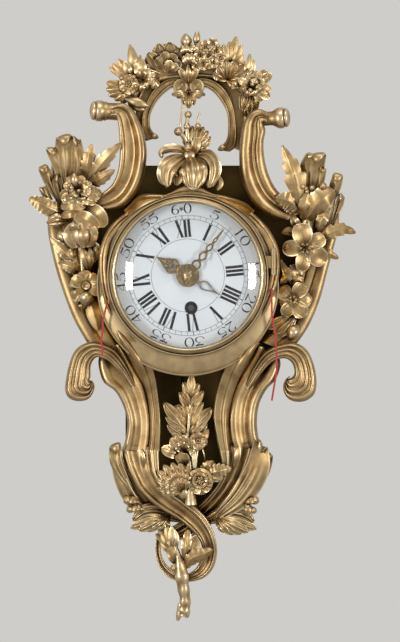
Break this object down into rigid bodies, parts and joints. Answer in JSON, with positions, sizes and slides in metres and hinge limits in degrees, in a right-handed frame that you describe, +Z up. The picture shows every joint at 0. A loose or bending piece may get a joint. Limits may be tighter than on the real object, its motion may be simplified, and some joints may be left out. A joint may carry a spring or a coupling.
{
  "type": "wall clock",
  "caption": "Asymmetric wall-hung cartel clock with scrolled gilt case, floral sprays, enamel dial behind a hinged domed bezel, pendulum movement, alarm hand and pull cords.",
  "frame": {"origin": "centre of the hanger hole, on the wall plane", "axes": "+Z up the wall, +Y into the wall, +X to the right as seen from the front; the dial faces -Y"},
  "size_m": [0.27, 0.0905, 0.4884],
  "materials": {
    "gilt_bronze": "fire-gilt cast bronze, matte ground with burnished highlights",
    "lacquered_sheet": "dark olive-brown lacquered brass sheet",
    "enamel": "white fired enamel on copper, glossy",
    "glass": "clear domed glass",
    "movement_brass": "polished, grained brass",
    "bell_metal": "pale turned bell metal",
    "steel": "polished and blued steel",
    "silk_cord": "red braided silk"
  },
  "bodies": {
    "case": {"back_plate": "lacquered_sheet", "hanger_strap": "steel", "drum": "movement_brass", "dial_surround": "gilt_bronze", "left_frame": "gilt_bronze", "right_frame": "gilt_bronze", "bottom_knot": "gilt_bronze", "left_upper_scroll": "gilt_bronze", "right_upper_scroll": "gilt_bronze", "crest_arch": "gilt_bronze", "crest_garland": "gilt_bronze", "iris_spray": "gilt_bronze", "left_spray": "gilt_bronze", "right_spray": "gilt_bronze", "centre_bouquet": "gilt_bronze", "left_acanthus": "gilt_bronze", "right_acanthus": "gilt_bronze", "tail_sprig": "gilt_bronze", "screws": "steel", "cord_eyelets": "movement_brass", "hinge_knuckles": "gilt_bronze", "hinge_pin": "steel", "enamel_dial": "enamel", "front_movement_plate": "movement_brass", "rear_movement_plate": "movement_brass", "plate_pillars": "movement_brass", "movement_posts": "movement_brass", "suspension_cock": "movement_brass", "bell": "bell_metal", "bell_and_hammer_posts": "movement_brass", "pulley_brackets": "movement_brass"},
    "bezel_door": {"bezel": "gilt_bronze", "glass": "glass", "bezel_knuckle": "gilt_bronze"},
    "minute_group": {"minute_hand": "gilt_bronze", "cannon_pinion": "steel"},
    "hour_group": {"hour_hand": "gilt_bronze", "hour_wheel": "movement_brass"},
    "alarm_setting": {"alarm_hand": "steel"},
    "motion_wheel": {"minute_wheel": "movement_brass"},
    "centre": {"centre_arbor": "steel", "centre_wheel": "movement_brass", "hand_collet": "gilt_bronze"},
    "going_barrel": {"barrel": "movement_brass", "mainspring": "steel"},
    "winding": {"winding_arbor": "steel", "ratchet_wheel": "steel"},
    "click_pawl": {"click": "steel"},
    "third": {"third_wheel": "movement_brass"},
    "escape": {"escape_wheel": "movement_brass"},
    "anchor": {"pallets": "steel"},
    "pendulum": {"pendulum_rod": "steel", "pendulum_bob": "movement_brass"},
    "repeat_pull": {"repeat_cord": "silk_cord"},
    "alarm_pull": {"alarm_cord": "silk_cord"},
    "repeat_sheave": {"repeat_pulley": "movement_brass"},
    "alarm_sheave": {"alarm_pulley": "movement_brass"},
    "repeat_strike": {"repeat_hammer": "steel"},
    "alarm_strike": {"alarm_hammer": "steel"}
  },
  "joints": [
    {"name": "bezel_hinge", "type": "hinge", "parent": "case", "child": "bezel_door", "pos_m": [0.0705, -0.0771, -0.167], "axis": [0, 0, 1], "range_deg": [0, 105]},
    {"name": "minute_turn", "type": "hinge", "parent": "case", "child": "minute_group", "pos_m": [0, -0.074, -0.178], "axis": [0, 1, 0], "continuous": true},
    {"name": "hour_turn", "type": "hinge", "parent": "case", "child": "hour_group", "pos_m": [0, -0.072, -0.178], "axis": [0, 1, 0], "continuous": true},
    {"name": "motion_turn", "type": "hinge", "parent": "case", "child": "motion_wheel", "pos_m": [0.01081, -0.057, -0.1728], "axis": [0, 1, 0], "continuous": true},
    {"name": "alarm_set", "type": "hinge", "parent": "hour_group", "child": "alarm_setting", "pos_m": [0, -0.071, -0.178], "axis": [0, 1, 0], "continuous": true},
    {"name": "third_turn", "type": "hinge", "parent": "case", "child": "third", "pos_m": [0.01028, -0.032, -0.15969], "axis": [0, 1, 0], "continuous": true},
    {"name": "centre_turn", "type": "hinge", "parent": "case", "child": "centre", "pos_m": [0, -0.027, -0.178], "axis": [0, 1, 0], "continuous": true},
    {"name": "barrel_turn", "type": "hinge", "parent": "case", "child": "going_barrel", "pos_m": [0.00265, -0.038, -0.20457], "axis": [0, 1, 0], "continuous": true},
    {"name": "escape_turn", "type": "hinge", "parent": "case", "child": "escape", "pos_m": [-0.00318, -0.038, -0.1515], "axis": [0, 1, 0], "continuous": true},
    {"name": "winding_turn", "type": "hinge", "parent": "case", "child": "winding", "pos_m": [0.00265, -0.056, -0.20457], "axis": [0, 1, 0], "continuous": true},
    {"name": "click_lift", "type": "hinge", "parent": "case", "child": "click_pawl", "pos_m": [0.01469, -0.056, -0.19432], "axis": [0, -1, 0], "range_deg": [0, 15], "stiffness_Nm_per_rad": 0.005, "springref_deg": -17.19},
    {"name": "pendulum_swing", "type": "hinge", "parent": "case", "child": "pendulum", "pos_m": [-0.00457, -0.012, -0.13757], "axis": [0, 1, 0], "range_deg": [-2.2, 2.2]},
    {"name": "anchor_rock", "type": "hinge", "parent": "case", "child": "anchor", "pos_m": [-0.00457, -0.038, -0.13757], "axis": [0, 1, 0], "range_deg": [-2.2, 2.2]},
    {"name": "repeat_draw", "type": "slide", "parent": "case", "child": "repeat_pull", "axis": [0, -1, 0], "range_m": [0, 0.025], "stiffness_N_per_m": 60, "springref_m": -0.01, "deforming": ["repeat_cord"]},
    {"name": "alarm_draw", "type": "slide", "parent": "case", "child": "alarm_pull", "axis": [0, -1, 0], "range_m": [0, 0.025], "stiffness_N_per_m": 60, "springref_m": -0.01},
    {"name": "repeat_sheave_turn", "type": "hinge", "parent": "case", "child": "repeat_sheave", "pos_m": [0.0599, -0.042, -0.19], "axis": [0, 0, -1], "range_deg": [0, 165]},
    {"name": "alarm_sheave_turn", "type": "hinge", "parent": "case", "child": "alarm_sheave", "pos_m": [-0.0579, -0.042, -0.2], "axis": [0, 0, 1], "range_deg": [0, 165]},
    {"name": "repeat_hammer_lift", "type": "hinge", "parent": "case", "child": "repeat_strike", "pos_m": [-0.04259, -0.016, -0.15666], "axis": [0, -1, 0], "range_deg": [0, 12], "stiffness_Nm_per_rad": 0.01, "springref_deg": -17.19},
    {"name": "alarm_hammer_lift", "type": "hinge", "parent": "case", "child": "alarm_strike", "pos_m": [-0.04259, -0.016, -0.20934], "axis": [0, 1, 0], "range_deg": [0, 12], "stiffness_Nm_per_rad": 0.01, "springref_deg": -17.19}
  ],
  "couplings": [
    {"joint": "hour_turn", "follows": "minute_turn", "ratio": 0.083333},
    {"joint": "motion_turn", "follows": "minute_turn", "ratio": -0.33333},
    {"joint": "centre_turn", "follows": "third_turn", "ratio": -0.16667},
    {"joint": "barrel_turn", "follows": "third_turn", "ratio": 0.027778},
    {"joint": "escape_turn", "follows": "third_turn", "ratio": -6},
    {"joint": "anchor_rock", "follows": "pendulum_swing", "ratio": 1},
    {"joint": "repeat_sheave_turn", "follows": "repeat_draw", "rad_per_m": 113.6},
    {"joint": "alarm_sheave_turn", "follows": "alarm_draw", "rad_per_m": 113.6}
  ]
}
